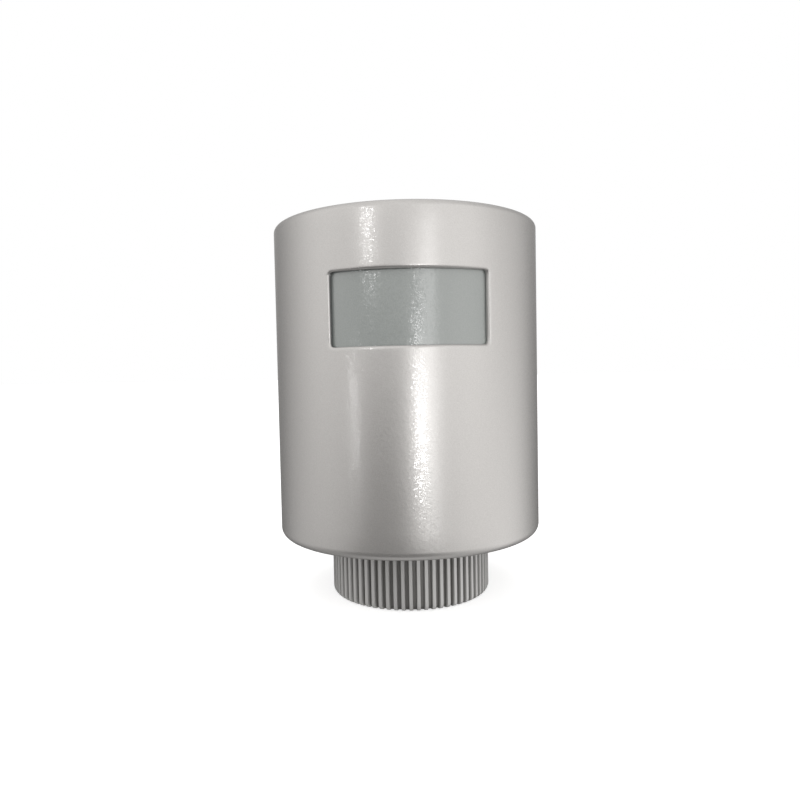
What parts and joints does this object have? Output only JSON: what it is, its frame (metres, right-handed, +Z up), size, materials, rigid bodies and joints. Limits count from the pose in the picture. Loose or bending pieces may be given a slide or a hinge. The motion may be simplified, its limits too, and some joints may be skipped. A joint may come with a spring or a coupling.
{
  "type": "motorised radiator valve actuator head",
  "caption": "Upright cylindrical battery-powered radiator valve head with a curved display window, lift-off shell, ribbed union nut and motor-driven push pin.",
  "frame": {"origin": "centre of the union nut's bottom face", "axes": "+Z up along the valve axis, display window faces -Y, keys in line along X"},
  "size_m": [0.056, 0.056, 0.078],
  "materials": {
    "body_paint": "satin silver-grey pearl paint on moulded plastic, fine orange peel",
    "lens": "semi-gloss grey-green tinted window, same fine orange peel",
    "key_grey": "satin moulded plastic",
    "nut_grey": "matte silver-grey moulded plastic, ribbed",
    "base_grey": "fine spark-eroded texture",
    "zinc": "turned zinc casting",
    "white_plastic": "plain moulded plastic",
    "screw_steel": "bright zinc-plated",
    "contact_steel": "nickel-plated spring steel",
    "cell_wrap": "printed shrink sleeve, plain bands",
    "black_plastic": "fine matte moulding",
    "gear_plastic": "natural acetal",
    "motor_steel": "drawn plated steel",
    "brass": "cut brass",
    "wire_red": "PVC insulation",
    "seal_rubber": "matte rubber",
    "board_green": "solder mask",
    "lcd_glass": "reflective liquid-crystal panel",
    "ribbon_amber": "polyimide ribbon"
  },
  "bodies": {
    "chassis_body": {"chassis": "white_plastic", "base_plate": "base_grey", "base_screw_1": "screw_steel", "base_screw_2": "screw_steel", "base_screw_3": "screw_steel", "top_deck": "white_plastic", "deck_screw_1": "screw_steel", "deck_screw_2": "screw_steel", "deck_screw_3": "screw_steel", "deck_screw_4": "screw_steel", "battery_tray_left": "white_plastic", "battery_tray_right": "white_plastic", "battery_left": "cell_wrap", "battery_right": "cell_wrap", "battery_spring": "contact_steel", "battery_contact": "contact_steel", "battery_link": "contact_steel", "gearbox_housing": "black_plastic", "gearbox_cover": "black_plastic", "gearbox_screw_1": "screw_steel", "gearbox_screw_2": "screw_steel", "gearbox_screw_3": "screw_steel", "gearbox_screw_4": "screw_steel", "thrust_washer": "screw_steel", "thrust_plate": "screw_steel", "axle_front": "screw_steel", "axle_rear": "screw_steel", "motor_can": "motor_steel", "motor_end_cap": "black_plastic", "motor_lead_red": "wire_red", "motor_lead_black": "black_plastic", "pin_seal": "seal_rubber", "valve_neck": "zinc", "main_pcb": "board_green", "lcd_frame": "white_plastic", "lcd_glass": "lcd_glass", "radio_module": "motor_steel", "microcontroller": "black_plastic", "temperature_sensor": "black_plastic", "key_pcb": "board_green", "tact_switch_1": "black_plastic", "tact_switch_2": "black_plastic", "tact_switch_3": "black_plastic", "flex_cable": "ribbon_amber"},
    "shell_body": {"outer_shell": "body_paint", "display_window": "lens"},
    "minus_key_body": {"key_minus": "key_grey"},
    "mode_key_body": {"key_mode": "key_grey"},
    "plus_key_body": {"key_plus": "key_grey"},
    "nut_body": {"union_nut": "nut_grey"},
    "pin_body": {"push_pin": "gear_plastic", "push_pin_pad": "screw_steel"},
    "output_gear_body": {"output_gear": "gear_plastic"},
    "stage_1_body": {"gear_stage_1": "gear_plastic"},
    "stage_2_body": {"gear_stage_2": "gear_plastic"},
    "stage_3_body": {"gear_stage_3": "gear_plastic"},
    "stage_4_body": {"gear_stage_4": "gear_plastic"},
    "rotor_body": {"motor_shaft": "screw_steel", "motor_pinion": "brass"}
  },
  "joints": [
    {"name": "shell_lift", "type": "slide", "parent": "chassis_body", "child": "shell_body", "axis": [0, 0, 1], "range_m": [0, 0.065]},
    {"name": "minus_key_press", "type": "slide", "parent": "shell_body", "child": "minus_key_body", "axis": [0, 0, -1], "range_m": [0, 0.0005], "stiffness_N_per_m": 400, "springref_m": -0.0005},
    {"name": "mode_key_press", "type": "slide", "parent": "shell_body", "child": "mode_key_body", "axis": [0, 0, -1], "range_m": [0, 0.0005], "stiffness_N_per_m": 400, "springref_m": -0.0005},
    {"name": "plus_key_press", "type": "slide", "parent": "shell_body", "child": "plus_key_body", "axis": [0, 0, -1], "range_m": [0, 0.0005], "stiffness_N_per_m": 400, "springref_m": -0.0005},
    {"name": "union_nut_turn", "type": "hinge", "parent": "chassis_body", "child": "nut_body", "pos_m": [0, 0, 0.0063], "axis": [0, 0, 1], "continuous": true},
    {"name": "push_pin_travel", "type": "slide", "parent": "chassis_body", "child": "pin_body", "axis": [0, 0, -1], "range_m": [0, 0.0045]},
    {"name": "output_gear_turn", "type": "hinge", "parent": "chassis_body", "child": "output_gear_body", "pos_m": [0, 0, 0.034], "axis": [0, 0, 1], "range_deg": [0, 1081]},
    {"name": "stage_1_turn", "type": "hinge", "parent": "chassis_body", "child": "stage_1_body", "pos_m": [0, 0.0105, 0.034], "axis": [0, 0, 1], "range_deg": [-3457, 0]},
    {"name": "stage_2_turn", "type": "hinge", "parent": "chassis_body", "child": "stage_2_body", "pos_m": [0, 0, 0.034], "axis": [0, 0, 1], "range_deg": [0, 8641]},
    {"name": "stage_3_turn", "type": "hinge", "parent": "chassis_body", "child": "stage_3_body", "pos_m": [0, 0.0105, 0.034], "axis": [0, 0, 1], "range_deg": [-21601, 0]},
    {"name": "stage_4_turn", "type": "hinge", "parent": "chassis_body", "child": "stage_4_body", "pos_m": [0, 0, 0.034], "axis": [0, 0, 1], "range_deg": [0, 54001]},
    {"name": "rotor_turn", "type": "hinge", "parent": "chassis_body", "child": "rotor_body", "pos_m": [0, 0.0105, 0.034], "axis": [0, 0, 1], "range_deg": [-172801, 0]}
  ],
  "couplings": [
    {"joint": "output_gear_turn", "follows": "push_pin_travel", "rad_per_m": 4188.8},
    {"joint": "stage_1_turn", "follows": "push_pin_travel", "rad_per_m": -13404},
    {"joint": "stage_2_turn", "follows": "push_pin_travel", "rad_per_m": 33510},
    {"joint": "stage_3_turn", "follows": "push_pin_travel", "rad_per_m": -83776},
    {"joint": "stage_4_turn", "follows": "push_pin_travel", "rad_per_m": 209440},
    {"joint": "rotor_turn", "follows": "push_pin_travel", "rad_per_m": -670210}
  ]
}
